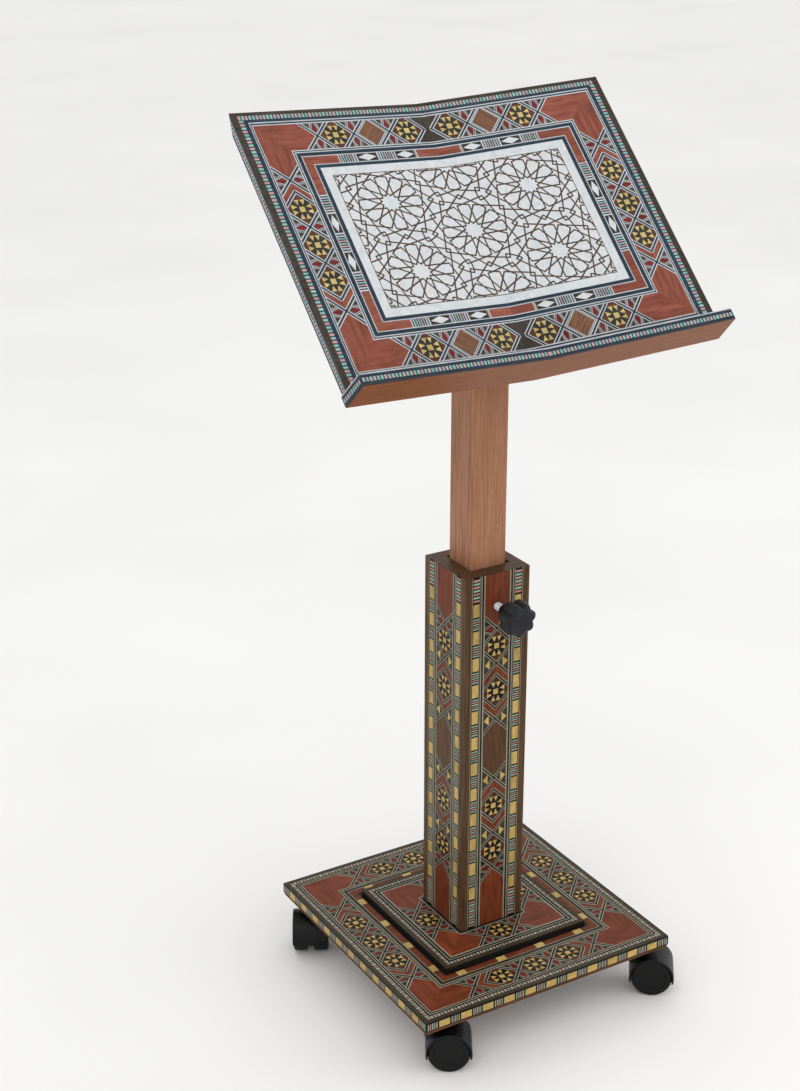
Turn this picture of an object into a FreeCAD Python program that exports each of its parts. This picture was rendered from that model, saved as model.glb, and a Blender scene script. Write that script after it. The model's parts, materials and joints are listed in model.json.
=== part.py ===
import FreeCAD, Part
import math
import os

# Floor-standing Quran reading stand: a square inlaid base on four twin-wheel casters, a hollow
# inlaid column, a square post that slides in it and is held by a clamp screw, and a tilting
# book-shaped desk made of two leaves. Millimetres. The origin is on the floor, on the column's
# axis. +Z is up, the reader stands on the -Y side, and +X is the reader's right.

# Base
BASE_SIDE = 350.0            # square, over the edge strips
BOARD_THICK = 15.0           # plywood core
VENEER = 1.0                 # thickness of every inlaid panel
EDGE_STRIP_HEIGHT = 12.6     # inlaid strip round the base's edge, from the top face down
CASTER_HEIGHT = 62.0         # floor to the underside of the board
PLINTH_SIDE = 202.0
PLINTH_RISE = 5.0            # plinth core above the board's inlay

# Column and post
COLUMN_SIDE = 88.0
COLUMN_RISE = 470.0          # above the plinth
WALL_THICK = 19.5
MOUTH_WALL = 14.5            # thinner right and back walls at the column's mouth
MOUTH_DEPTH = 25.0
COLUMN_PANEL_WIDTH = 70.0    # inlaid panel between the walnut corner strips
POST_SIDE = 46.5
POST_INSIDE = 210.0          # length of post inside the column at rest
FORK_SLOT_WIDTH = 16.6
FORK_SLOT_DEPTH = 36.0       # below the tilt pivot

# Clamp screw through the column's front wall
CLAMP_BELOW_TOP = 42.0
STUD_DIA = 10.0
CLAMP_STUD_SHOW = 14.0       # bare stud between the column and the knob's hub
RUNNING_GAP = 0.05           # radial clearance of a pin, shaft or screw in its hole
MOVING_GAP = 0.3             # clearance between parts that pass each other
INSERT_DIA = 14.0            # threaded insert in the wall, and the bore that the pad slides in
INSERT_LENGTH = 9.0
PAD_THICK = 4.0
PAD_NOSE_DIA = 5.0           # stud's reduced end, held in the pad
PAD_NOSE = 2.6

# Star knobs
KNOB_DIA = 42.0
KNOB_LOBES = 7
KNOB_LOBE_RADIUS = 6.2
KNOB_RIM = 22.0              # length of the lobed grip
KNOB_RIM_CHAMFER = 3.0       # radial, at both ends of the grip
KNOB_HUB_DIA = 20.0
KNOB_HUB_TAPER = 3.0         # the hub is this much narrower at its end
KNOB_HUB = 15.0              # length of the hub behind the grip
KNOB_SOCKET = 25.0           # depth of the stud's hole, from the hub's end

# Desk
DESK_TILT = 44.0             # degrees from level, at rest
LEAF_ANGLE = 4.24            # degrees that each leaf rises from the fold
LEAF_WIDTH = 240.7
LEAF_LENGTH = 343.7          # back edge to the ledge
LEAF_THICK = 10.0
LEAF_BACK_UNDERCUT = 22.8
LEAF_EDGE_STRIP = 1.5
LEDGE_THICK = 13.8
LEDGE_RISE = 30.9            # above the reading surface
LEDGE_DROP = 12.9            # below the reading surface
PIVOT_ABOVE_COLUMN = 300.9
PIVOT_TO_FOLD = 50.0         # square to the desk
PIVOT_TO_BACK = 243.3        # along the desk
BATTEN_HALF_WIDTH = 45.0
BATTEN_UNDERSIDE = 28.0      # from the pivot, square to the desk
BATTEN_FRONT = -80.0
BATTEN_BACK = 150.0
TONGUE_THICK = 16.0
TONGUE_HALF_LENGTH = 45.0
TONGUE_RADIUS = 20.0
TILT_BOLT_DIA = 8.0
TILT_BOLT_IN_KNOB = 21.0     # how far the bolt reaches into the knob
BOLT_HEAD_DIA = 20.0
BOLT_HEAD_HEIGHT = 4.0
KNOB_NUT_DIA = 13.0          # threaded nut moulded into the tilt knob
KNOB_NUT_LENGTH = 12.0
WASHER_THICK = 1.6
WASHER_DIA = 22.0

# Casters
CASTER_INSET = 26.0          # swivel axis to the base's edge
PLATE_SIDE = 38.0
PLATE_THICK = 2.0
PLATE_HOLE_PITCH = 28.0
KINGPIN_DIA = 8.0
KINGPIN_LENGTH = 14.0
TRAIL = 18.0                 # swivel axis to the axle
WHEEL_DIA = 50.0
WHEEL_WIDTH = 17.5
WHEEL_CORNER = 3.0           # radius of the tread's outer corner
WHEEL_RIM = 3.5              # flat ring round the dished outer face
WHEEL_DISH = 1.0
WHEEL_CAP = 3.0              # closed end of the wheel's bore, on its outer side
WEB_THICK = 8.0              # hood's web between the two wheels
HOOD_RADIUS = 27.5
HOOD_SKIN = 2.0
HOOD_WIDTH = 46.0
HOOD_ROUND = 1.5             # rounding of the hood's outer edges
HOOD_SKIRT = 6.0             # the hood's lower edge, below the axle
AXLE_DIA = 6.0
# Corner signs, and the way each hood trails at rest (degrees anticlockwise from +X)
CASTERS = {
    "front_left": (-1, -1, -31.0),
    "front_right": (1, -1, -37.0),
    "back_left": (-1, 1, -120.0),
    "back_right": (1, 1, 115.3),
}

X_AXIS = FreeCAD.Vector(1, 0, 0)
Y_AXIS = FreeCAD.Vector(0, 1, 0)
Z_AXIS = FreeCAD.Vector(0, 0, 1)

BOARD_BOTTOM = CASTER_HEIGHT
BOARD_TOP = BOARD_BOTTOM + BOARD_THICK
BASE_TOP = BOARD_TOP + VENEER
PLINTH_CORE_TOP = BASE_TOP + PLINTH_RISE
PLINTH_TOP = PLINTH_CORE_TOP + VENEER
COLUMN_HALF = COLUMN_SIDE / 2
COLUMN_INNER = COLUMN_HALF - WALL_THICK
COLUMN_TOP = PLINTH_TOP + COLUMN_RISE
CLAMP_Z = COLUMN_TOP - CLAMP_BELOW_TOP
PIVOT_Z = COLUMN_TOP + PIVOT_ABOVE_COLUMN
POST_HALF = POST_SIDE / 2
POST_BOTTOM = COLUMN_TOP - POST_INSIDE
INSERT_FRONT = 3 - COLUMN_HALF
INSERT_BACK = INSERT_FRONT + INSERT_LENGTH
PAD_FACE = -POST_HALF - MOVING_GAP


# ---------------------------------------------------------------- small helpers

def vec(x, y, z):
    return FreeCAD.Vector(x, y, z)


def box(low, high):
    size = [b - a for a, b in zip(low, high)]
    return Part.makeBox(size[0], size[1], size[2], vec(*low))


def square_slab(side, z_low, z_high):
    half = side / 2
    return box((-half, -half, z_low), (half, half, z_high))


def rod(dia, start, end):
    along = vec(*end) - vec(*start)
    return Part.makeCylinder(dia / 2, along.Length, vec(*start), along)


def cone(dia_a, dia_b, start, end):
    along = vec(*end) - vec(*start)
    return Part.makeCone(dia_a / 2, dia_b / 2, along.Length, vec(*start), along)


def prism(points, direction):
    """Solid swept along direction from the closed outline points."""
    outline = [vec(*p) for p in points]
    face = Part.Face(Part.makePolygon(outline + outline[:1]))
    return face.extrude(vec(*direction))


def turned(shape, angle, axis=Z_AXIS, centre=(0, 0, 0)):
    copy = shape.copy()
    copy.rotate(vec(*centre), axis, angle)
    return copy


def moved(shape, offset):
    copy = shape.copy()
    copy.translate(vec(*offset))
    return copy


def union(shapes):
    return shapes[0].fuse(shapes[1:]).removeSplitter()


def save(name, shape):
    shape.exportStep("parts/" + name + ".step")


def wood_screw(tip, head_end, dia=4.0):
    """Countersunk screw whose head face is at head_end."""
    tip, head_end = vec(*tip), vec(*head_end)
    up = (tip - head_end).normalize()
    head = Part.makeCone(dia, dia / 2, dia / 2, head_end, up)
    shank = Part.makeCylinder(dia / 2, (tip - head_end).Length - dia, head_end, up)
    point = Part.makeCone(dia / 2, dia / 8, dia, tip - up * dia, up)
    return union([head, shank, point])


# ---------------------------------------------------------------- base

def column_screws():
    """Four long screws through the board and plinth into the column's walls."""
    ring = COLUMN_HALF - WALL_THICK / 2
    spots = ((ring, 0), (0, ring), (-ring, 0), (0, -ring))
    return [wood_screw((x, y, BOARD_BOTTOM + 60), (x, y, BOARD_BOTTOM), 5.0) for x, y in spots]


def make_base(screws, caster_fixings):
    core_side = BASE_SIDE - 2 * VENEER
    board = square_slab(core_side, BOARD_BOTTOM, BOARD_TOP).cut(screws + caster_fixings)
    save("base_board", board)

    top = square_slab(core_side, BOARD_TOP, BASE_TOP).cut(
        square_slab(PLINTH_SIDE, BOARD_TOP, BASE_TOP))
    save("base_top_inlay", top)

    half = BASE_SIDE / 2
    low = BASE_TOP - EDGE_STRIP_HEIGHT
    outline = [(-half, -half, low), (half, -half, low),
               (half - VENEER, VENEER - half, low), (VENEER - half, VENEER - half, low)]
    strip = prism(outline, (0, 0, EDGE_STRIP_HEIGHT))
    for quarter, side in enumerate(("front", "right", "back", "left")):
        save("base_edge_" + side, turned(strip, 90 * quarter))

    plinth = square_slab(PLINTH_SIDE, BOARD_TOP, PLINTH_CORE_TOP).cut(screws)
    save("plinth", plinth)
    plinth_inlay = square_slab(PLINTH_SIDE, PLINTH_CORE_TOP, PLINTH_TOP).cut(
        square_slab(COLUMN_SIDE, PLINTH_CORE_TOP, PLINTH_TOP))
    save("plinth_inlay", plinth_inlay)
    save("column_screws", Part.makeCompound(screws))


# ---------------------------------------------------------------- column and clamp

def clamp_bores():
    """Stud hole and the wider bore behind it for the insert and the pressure pad."""
    stud_hole = rod(STUD_DIA + 1, (0, -COLUMN_HALF, CLAMP_Z), (0, -COLUMN_INNER, CLAMP_Z))
    bore = rod(INSERT_DIA, (0, INSERT_FRONT, CLAMP_Z), (0, -COLUMN_INNER, CLAMP_Z))
    return stud_hole.fuse(bore)


def make_column(screws):
    low, high = PLINTH_CORE_TOP, COLUMN_TOP
    outline = [(-COLUMN_HALF, -COLUMN_HALF, low), (COLUMN_HALF, -COLUMN_HALF, low),
               (COLUMN_INNER, -COLUMN_INNER, low), (-COLUMN_INNER, -COLUMN_INNER, low)]
    panel_half = COLUMN_PANEL_WIDTH / 2
    panel = box((-panel_half, -COLUMN_HALF, PLINTH_TOP),
                (panel_half, VENEER - COLUMN_HALF, high))
    mouth_end = COLUMN_HALF - MOUTH_WALL
    mouth = box((-COLUMN_INNER, -COLUMN_INNER, high - MOUTH_DEPTH), (mouth_end, mouth_end, high))
    wall = prism(outline, (0, 0, high - low)).cut(panel)
    for quarter, side in enumerate(("front", "right", "back", "left")):
        wall_here = turned(wall, 90 * quarter).cut(mouth).cut(screws)
        panel_here = turned(panel, 90 * quarter)
        if side == "front":
            wall_here = wall_here.cut(clamp_bores())
            panel_here = panel_here.cut(clamp_bores())
        save("column_wall_" + side, wall_here)
        save("column_inlay_" + side, panel_here)


def star_knob(bore_dia):
    """Lobed knob along +Z with its hub's end at z = 0 and its grip at the far end."""
    lobe_centre = KNOB_DIA / 2 - KNOB_LOBE_RADIUS
    grip_end = KNOB_HUB + KNOB_RIM
    pieces = [rod(2 * lobe_centre + 4, (0, 0, KNOB_HUB), (0, 0, grip_end))]
    for lobe in range(KNOB_LOBES):
        angle = 2 * math.pi * lobe / KNOB_LOBES
        x, y = lobe_centre * math.cos(angle), lobe_centre * math.sin(angle)
        pieces.append(rod(2 * KNOB_LOBE_RADIUS, (x, y, KNOB_HUB), (x, y, grip_end)))
    # Two cones, wide ends together, trim the lobes to a chamfer at both ends of the grip.
    waist = KNOB_HUB + KNOB_RIM / 2
    end_dia = KNOB_DIA - 2 * KNOB_RIM_CHAMFER
    waist_dia = end_dia + 18
    envelope = union([
        cone(end_dia, waist_dia, (0, 0, KNOB_HUB), (0, 0, waist)),
        cone(waist_dia, end_dia, (0, 0, waist), (0, 0, grip_end)),
    ])
    hub = cone(KNOB_HUB_DIA - KNOB_HUB_TAPER, KNOB_HUB_DIA, (0, 0, 0), (0, 0, KNOB_HUB + 1))
    socket = rod(bore_dia, (0, 0, 0), (0, 0, KNOB_SOCKET))
    return union([union(pieces).common(envelope), hub]).cut(socket)


def make_clamp():
    insert = rod(INSERT_DIA, (0, INSERT_FRONT, CLAMP_Z), (0, INSERT_BACK, CLAMP_Z)).cut(
        rod(STUD_DIA + 2 * RUNNING_GAP, (0, INSERT_FRONT, CLAMP_Z), (0, INSERT_BACK, CLAMP_Z)))
    save("clamp_insert", insert)

    pad_back = PAD_FACE - PAD_THICK
    socket_end = pad_back + PAD_NOSE + 2 * RUNNING_GAP
    pad = rod(INSERT_DIA - 2 * MOVING_GAP, (0, pad_back, CLAMP_Z), (0, PAD_FACE, CLAMP_Z)).cut(
        rod(PAD_NOSE_DIA + 2 * RUNNING_GAP, (0, pad_back, CLAMP_Z), (0, socket_end, CLAMP_Z)))
    save("clamp_pad", pad)

    shoulder = pad_back - 2 * RUNNING_GAP
    hub_end = -COLUMN_HALF - CLAMP_STUD_SHOW
    stud = union([
        rod(STUD_DIA, (0, hub_end - KNOB_SOCKET, CLAMP_Z), (0, shoulder, CLAMP_Z)),
        rod(PAD_NOSE_DIA, (0, shoulder, CLAMP_Z), (0, shoulder + PAD_NOSE, CLAMP_Z)),
    ])
    save("clamp_stud", stud)
    knob = turned(star_knob(STUD_DIA), 90, X_AXIS)
    save("clamp_knob", moved(knob, (0, hub_end, CLAMP_Z)))


# ---------------------------------------------------------------- post and tilt joint

def make_post():
    shank = box((-POST_HALF, -POST_HALF, POST_BOTTOM), (POST_HALF, POST_HALF, PIVOT_Z))
    crown = rod(POST_SIDE, (-POST_HALF, 0, PIVOT_Z), (POST_HALF, 0, PIVOT_Z))
    slot = box((-FORK_SLOT_WIDTH / 2, -POST_HALF, PIVOT_Z - FORK_SLOT_DEPTH),
               (FORK_SLOT_WIDTH / 2, POST_HALF, PIVOT_Z + POST_HALF))
    bolt_hole = rod(TILT_BOLT_DIA, (-POST_HALF, 0, PIVOT_Z), (POST_HALF, 0, PIVOT_Z))
    save("post", union([shank, crown]).cut([slot, bolt_hole]))


def make_tilt_bolt():
    washer_x = POST_HALF + MOVING_GAP
    hub_x = washer_x + WASHER_THICK + 2 * RUNNING_GAP
    bolt_end = hub_x + TILT_BOLT_IN_KNOB
    shank = rod(TILT_BOLT_DIA, (-POST_HALF, 0, PIVOT_Z), (bolt_end, 0, PIVOT_Z))
    crown_x = -POST_HALF - BOLT_HEAD_HEIGHT
    ball_radius = ((BOLT_HEAD_DIA / 2) ** 2 + BOLT_HEAD_HEIGHT ** 2) / (2 * BOLT_HEAD_HEIGHT)
    ball = Part.makeSphere(ball_radius, vec(crown_x + ball_radius, 0, PIVOT_Z))
    head = ball.common(rod(BOLT_HEAD_DIA, (crown_x, 0, PIVOT_Z), (-POST_HALF, 0, PIVOT_Z)))
    save("tilt_bolt", union([shank, head]))

    hole = TILT_BOLT_DIA + 2 * RUNNING_GAP
    washer = rod(WASHER_DIA, (washer_x, 0, PIVOT_Z), (washer_x + WASHER_THICK, 0, PIVOT_Z))
    save("tilt_washer", washer.cut(rod(hole, (washer_x, 0, PIVOT_Z), (bolt_end, 0, PIVOT_Z))))

    nut = rod(KNOB_NUT_DIA, (hub_x, 0, PIVOT_Z), (hub_x + KNOB_NUT_LENGTH, 0, PIVOT_Z))
    bore = rod(hole, (hub_x, 0, PIVOT_Z), (bolt_end + 4, 0, PIVOT_Z))
    save("tilt_knob_nut", nut.cut(bore))
    knob = turned(star_knob(hole), 90, Y_AXIS)
    save("tilt_knob", moved(knob, (hub_x, 0, PIVOT_Z)).cut(nut))


# ---------------------------------------------------------------- desk
# The desk is drawn level in its own frame: the pivot at the origin, X across, Y up the slope
# and Z square to it. Each leaf is drawn flat and then raised about the fold.

FOLD_Z = PIVOT_TO_FOLD
LEAF_FRONT = PIVOT_TO_BACK - LEAF_LENGTH
MITRE = math.tan(math.radians(LEAF_ANGLE))


def place_desk(shape):
    return moved(turned(shape, DESK_TILT, X_AXIS), (0, 0, PIVOT_Z))


def raise_leaf(shape):
    """Turn a flat right-hand piece up about the fold line."""
    return turned(moved(shape, (0, 0, FOLD_Z)), -LEAF_ANGLE, Y_AXIS, (0, 0, FOLD_Z))


def leaf_section(width, z_top, z_low):
    """Right-hand cross-section with its mitre at the fold, at the front end."""
    return [(z_top * MITRE, LEAF_FRONT, z_top), (width, LEAF_FRONT, z_top),
            (width, LEAF_FRONT, z_low), (z_low * MITRE, LEAF_FRONT, z_low)]


def right_leaf_pieces():
    back_wedge = prism([(-20, PIVOT_TO_BACK + 1, 0), (-20, PIVOT_TO_BACK, 0),
                        (-20, PIVOT_TO_BACK - LEAF_BACK_UNDERCUT, -LEAF_THICK),
                        (-20, PIVOT_TO_BACK + 1, -LEAF_THICK)], (LEAF_WIDTH + 40, 0, 0))
    core_width = LEAF_WIDTH - LEAF_EDGE_STRIP
    core = prism(leaf_section(core_width, -VENEER, -LEAF_THICK), (0, LEAF_LENGTH, 0))
    inlay = prism(leaf_section(core_width, 0, -VENEER), (0, LEAF_LENGTH, 0))
    strip = prism([(core_width, LEAF_FRONT, 0), (LEAF_WIDTH, LEAF_FRONT, 0),
                   (LEAF_WIDTH, LEAF_FRONT, -LEAF_THICK),
                   (core_width, LEAF_FRONT, -LEAF_THICK)],
                  (0, LEAF_LENGTH, 0))
    return {"leaf": core.cut(back_wedge), "leaf_inlay": inlay.cut(back_wedge),
            "leaf_edge": strip.cut(back_wedge)}


def right_ledge_pieces():
    front = LEAF_FRONT - LEDGE_THICK
    wood_end = LEAF_WIDTH - VENEER
    wood_top = LEDGE_RISE - VENEER
    wood = prism([(wood_top * MITRE, front, wood_top), (wood_end, front, wood_top),
                  (wood_end, front, -LEDGE_DROP), (-LEDGE_DROP * MITRE, front, -LEDGE_DROP)],
                 (0, LEDGE_THICK, 0))
    cap = prism([(LEDGE_RISE * MITRE, front, LEDGE_RISE), (LEAF_WIDTH, front, LEDGE_RISE),
                 (LEAF_WIDTH, front, -LEDGE_DROP), (wood_end, front, -LEDGE_DROP),
                 (wood_end, front, wood_top), (wood_top * MITRE, front, wood_top)],
                (0, LEDGE_THICK, 0))
    return {"ledge": wood, "ledge_inlay": cap}


def make_leaves(screws):
    for name, flat in {**right_leaf_pieces(), **right_ledge_pieces()}.items():
        right = raise_leaf(flat)
        left = right.mirror(vec(0, 0, 0), X_AXIS)
        for side, shape in (("right", right), ("left", left)):
            if name == "leaf":
                shape = shape.cut(screws)
            save(name + "_" + side, place_desk(shape))


def batten_screws():
    """Six screws up through the batten into the leaves."""
    tip_z = FOLD_Z - LEAF_THICK / 2
    spots = [(x, y) for x in (-32, 32) for y in (-68, 62, 138)]
    return [wood_screw((x, y, tip_z), (x, y, BATTEN_UNDERSIDE)) for x, y in spots]


def make_bracket(screws):
    spine = FOLD_Z - LEAF_THICK / math.cos(math.radians(LEAF_ANGLE))
    rise = BATTEN_HALF_WIDTH * MITRE
    batten = prism([(-BATTEN_HALF_WIDTH, BATTEN_FRONT, BATTEN_UNDERSIDE),
                    (BATTEN_HALF_WIDTH, BATTEN_FRONT, BATTEN_UNDERSIDE),
                    (BATTEN_HALF_WIDTH, BATTEN_FRONT, spine + rise),
                    (0, BATTEN_FRONT, spine),
                    (-BATTEN_HALF_WIDTH, BATTEN_FRONT, spine + rise)],
                   (0, BATTEN_BACK - BATTEN_FRONT, 0))
    half = TONGUE_THICK / 2
    mortise = box((-half, -TONGUE_HALF_LENGTH, BATTEN_UNDERSIDE),
                  (half, TONGUE_HALF_LENGTH, spine + rise))
    save("desk_batten", place_desk(batten.cut([mortise] + screws)))
    save("batten_screws", place_desk(Part.makeCompound(screws)))

    blade = prism([(-half, -TONGUE_HALF_LENGTH, spine), (-half, TONGUE_HALF_LENGTH, spine),
                   (-half, TONGUE_HALF_LENGTH, BATTEN_UNDERSIDE), (-half, TONGUE_RADIUS, 0),
                   (-half, -TONGUE_RADIUS, 0), (-half, -TONGUE_HALF_LENGTH, BATTEN_UNDERSIDE)],
                  (TONGUE_THICK, 0, 0))
    eye = rod(2 * TONGUE_RADIUS, (-half, 0, 0), (half, 0, 0))
    hole = rod(TILT_BOLT_DIA + 2 * RUNNING_GAP, (-half, 0, 0), (half, 0, 0))
    save("desk_tongue", place_desk(union([blade, eye]).cut(hole)))


# ---------------------------------------------------------------- casters
# A caster is drawn with its swivel axis on Z at the board's underside and its axle at +X.

AXLE_Z = WHEEL_DIA / 2 - CASTER_HEIGHT
PLATE_HOLES = [(sx * PLATE_HOLE_PITCH / 2, sy * PLATE_HOLE_PITCH / 2)
               for sx in (-1, 1) for sy in (-1, 1)]


def plate_screws():
    return [wood_screw((x, y, 11), (x, y, -PLATE_THICK), 3.5) for x, y in PLATE_HOLES]


def caster_plate(screws):
    half = PLATE_SIDE / 2
    plate = box((-half, -half, -PLATE_THICK), (half, half, 0)).cut(screws)
    kingpin = rod(KINGPIN_DIA, (0, 0, -PLATE_THICK - KINGPIN_LENGTH), (0, 0, -PLATE_THICK))
    return union([plate, kingpin])


def wheel_space(clearance):
    """The room that the two wheels sweep inside the hood."""
    half_web = WEB_THICK / 2
    outer = half_web + MOVING_GAP + WHEEL_WIDTH + HOOD_WIDTH
    radius = WHEEL_DIA / 2 + clearance
    sides = [rod(2 * radius, (TRAIL, s * half_web, AXLE_Z), (TRAIL, s * outer, AXLE_Z))
             for s in (-1, 1)]
    return sides[0].fuse(sides[1])


def caster_hood():
    """A round fender over the wheels, the web between them and the swivel boss."""
    half = HOOD_WIDTH / 2
    drum = rod(2 * HOOD_RADIUS, (TRAIL, -half, AXLE_Z), (TRAIL, half, AXLE_Z))
    rims = [edge for edge in drum.Edges if isinstance(edge.Curve, Part.Circle)]
    drum = drum.makeFillet(HOOD_ROUND, rims)
    skirt_z = AXLE_Z - HOOD_SKIRT
    keep = box((TRAIL - 2 * HOOD_RADIUS, -half, skirt_z),
               (TRAIL + 2 * HOOD_RADIUS, half, 0))
    fender = drum.common(keep).cut(wheel_space(HOOD_RADIUS - WHEEL_DIA / 2 - HOOD_SKIN))
    hub = rod(2 * AXLE_DIA, (TRAIL, -WEB_THICK / 2, AXLE_Z), (TRAIL, WEB_THICK / 2, AXLE_Z))
    boss_top = -PLATE_THICK - MOVING_GAP
    boss_low = AXLE_Z + 12
    boss = cone(2.6 * KINGPIN_DIA, 3.2 * KINGPIN_DIA, (0, 0, boss_low), (0, 0, boss_top))
    boss = boss.cut(wheel_space(HOOD_RADIUS - WHEEL_DIA / 2 - HOOD_SKIN))
    pin_hole = rod(KINGPIN_DIA + 2 * RUNNING_GAP, (0, 0, -PLATE_THICK - KINGPIN_LENGTH - 1),
                   (0, 0, boss_top))
    axle_hole = rod(AXLE_DIA, (TRAIL, -half, AXLE_Z), (TRAIL, half, AXLE_Z))
    return union([fender, hub, boss]).cut([pin_hole, axle_hole])


def caster_wheel():
    """Wheel on the +Y side of the web: rounded tread, closed outer face and blind bore."""
    inner = WEB_THICK / 2 + MOVING_GAP
    outer = inner + WHEEL_WIDTH
    face = outer - WHEEL_DISH
    bore_end = outer - WHEEL_CAP
    radius = WHEEL_DIA / 2
    bore = AXLE_DIA / 2 + RUNNING_GAP
    rim = radius - WHEEL_CORNER - WHEEL_RIM
    to_corner = [(0, bore_end), (bore, bore_end), (bore, inner), (radius - 1, inner),
                 (radius, inner + 1), (radius, outer - WHEEL_CORNER)]
    from_corner = [(radius - WHEEL_CORNER, outer), (rim, outer), (rim - WHEEL_DISH, face), (0, face)]
    start = [vec(TRAIL + r, y, AXLE_Z) for r, y in to_corner]
    rest = [vec(TRAIL + r, y, AXLE_Z) for r, y in from_corner]
    slant = WHEEL_CORNER * (1 - math.sqrt(0.5))
    middle = vec(TRAIL + radius - slant, outer - slant, AXLE_Z)
    edges = Part.makePolygon(start).Edges
    edges.append(Part.Arc(start[-1], middle, rest[0]).toShape())
    edges += Part.makePolygon(rest + start[:1]).Edges
    return Part.Face(Part.Wire(edges)).revolve(vec(TRAIL, 0, AXLE_Z), Y_AXIS, 360)


def make_casters():
    """Saves the four casters and returns the screws that go up into the base board."""
    screws = plate_screws()
    plate = caster_plate(screws)
    hood = caster_hood()
    axle_half = WEB_THICK / 2 + MOVING_GAP + WHEEL_WIDTH - WHEEL_CAP - 1
    axle = rod(AXLE_DIA, (TRAIL, -axle_half, AXLE_Z), (TRAIL, axle_half, AXLE_Z))
    wheel = caster_wheel()
    all_screws = []
    swivelling = {
        "caster_hood_": hood,
        "caster_axle_": axle,
        "wheel_a_": wheel,
        "wheel_b_": wheel.mirror(vec(0, 0, 0), Y_AXIS),
    }
    reach = BASE_SIDE / 2 - CASTER_INSET
    for name, (side_x, side_y, heading) in CASTERS.items():
        corner = (side_x * reach, side_y * reach, BOARD_BOTTOM)
        save("caster_plate_" + name, moved(plate, corner))
        for piece, shape in swivelling.items():
            save(piece + name, moved(turned(shape, heading), corner))
        all_screws += [moved(s, corner) for s in screws]
    save("caster_screws", Part.makeCompound(all_screws))
    return all_screws


def main():
    os.makedirs("parts", exist_ok=True)
    fixings = column_screws()
    make_base(fixings, make_casters())
    make_column(fixings)
    make_clamp()
    make_post()
    make_tilt_bolt()
    leaf_fixings = batten_screws()
    make_leaves(leaf_fixings)
    make_bracket(leaf_fixings)


main()
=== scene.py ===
import json
import math
import random

import bpy
from mathutils import Matrix, Vector
from mathutils.geometry import delaunay_2d_cdt


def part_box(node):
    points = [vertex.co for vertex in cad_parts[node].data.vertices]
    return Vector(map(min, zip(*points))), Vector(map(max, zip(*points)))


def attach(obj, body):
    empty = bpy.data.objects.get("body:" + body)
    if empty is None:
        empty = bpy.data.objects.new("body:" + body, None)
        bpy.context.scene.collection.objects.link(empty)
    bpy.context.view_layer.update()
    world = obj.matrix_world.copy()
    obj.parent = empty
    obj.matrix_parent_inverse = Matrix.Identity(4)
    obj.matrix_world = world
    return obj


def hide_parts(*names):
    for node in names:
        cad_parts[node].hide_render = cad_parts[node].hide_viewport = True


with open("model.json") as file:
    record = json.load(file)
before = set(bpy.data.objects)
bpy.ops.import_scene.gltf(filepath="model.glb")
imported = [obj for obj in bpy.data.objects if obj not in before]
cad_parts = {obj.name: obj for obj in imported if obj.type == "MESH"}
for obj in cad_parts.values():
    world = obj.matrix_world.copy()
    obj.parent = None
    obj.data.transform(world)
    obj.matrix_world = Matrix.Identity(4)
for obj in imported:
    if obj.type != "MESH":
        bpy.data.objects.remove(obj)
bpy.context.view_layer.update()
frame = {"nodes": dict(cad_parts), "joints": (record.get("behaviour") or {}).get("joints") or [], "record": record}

# A Quran stand. Marquetry is drawn in millimetres on flat panels, one tile for each piece of
# veneer, and every panel becomes a closed slab that stands where the CAD has its plain one.
# Turned and moulded parts are lofted. Everything else keeps its CAD shape and gets its finish here.

MM = 0.001
RECORD = frame["record"]
MOUNTS = {mount["name"]: mount for mount in RECORD["mounts"]}
JOINTS = {joint["name"]: joint for joint in frame["joints"]}
BODY_OF = {node: body for body, nodes in RECORD["behaviour"]["bodies"].items() for node in nodes}
SLOT_OF = {part["node"]: part["material_slot"] for part in RECORD["subparts"]}

# Marquetry bands
HALF_BAND = 17.0             # half the width of every mosaic band
ARM = 4.6                    # a crossing arm: white, black, white
ARM_CORE = 2.2
PEG_PITCH = 4.4
PEG_LENGTH = 2.9
STRAP = 1.9                  # brown strapwork line in the shell field
STRAP_STRETCH = 1.17         # the strapwork is this much wider than a regular hexagonal one
STRAP_PITCH = 88.9           # between rosettes, up the desk

# Driving sizes that the CAD states too
LEAF_WIDTH = 240.7
LEAF_LENGTH = 343.7
LEAF_BACK_UNDERCUT = 22.8
LEAF_THICK = 10.0
LEAF_EDGE_STRIP = 1.5
VENEER = 1.0
BASE_SIDE = 350.0
PLINTH_SIDE = 202.0
COLUMN_SIDE = 88.0
PANEL_WIDTH = 70.0
DESK_TILT = 44.0             # degrees, at rest

# How the flat drawing is cut into mesh
SNAP = 1024                  # steps in a millimetre
GRID = 6.0                   # cells that tiles are sorted into, to find what covers a point
ON_LINE = 0.004              # how far off a side a rim point may lie, in millimetres


def placed(name, data):
    """A new object in the scene."""
    obj = bpy.data.objects.new(name, data)
    bpy.context.scene.collection.objects.link(obj)
    return obj


# ---- flat geometry

def oblong(x0, y0, x1, y1):
    return [(x0, y0), (x1, y0), (x1, y1), (x0, y1)]


def clipped(points, region):
    """The part of a convex outline inside a convex anticlockwise region."""
    for a, b in zip(region, region[1:] + region[:1]):
        sides = [(b - a).cross(p - a) for p in points]
        kept = []
        for i, point in enumerate(points):
            j = (i + 1) % len(points)
            if sides[i] >= 0:
                kept.append(point)
            if sides[i] * sides[j] < 0:
                kept.append(point.lerp(points[j], sides[i] / (sides[i] - sides[j])))
        points = kept
        if not points:
            break
    return points


def snapped(point):
    """The point on a grid fine enough not to show, so that shared edges match exactly."""
    return Vector((round(point[0] * SNAP) / SNAP, round(point[1] * SNAP) / SNAP))


def area(points):
    return sum(a.cross(b) for a, b in zip(points, points[1:] + points[:1])) / 2


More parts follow.
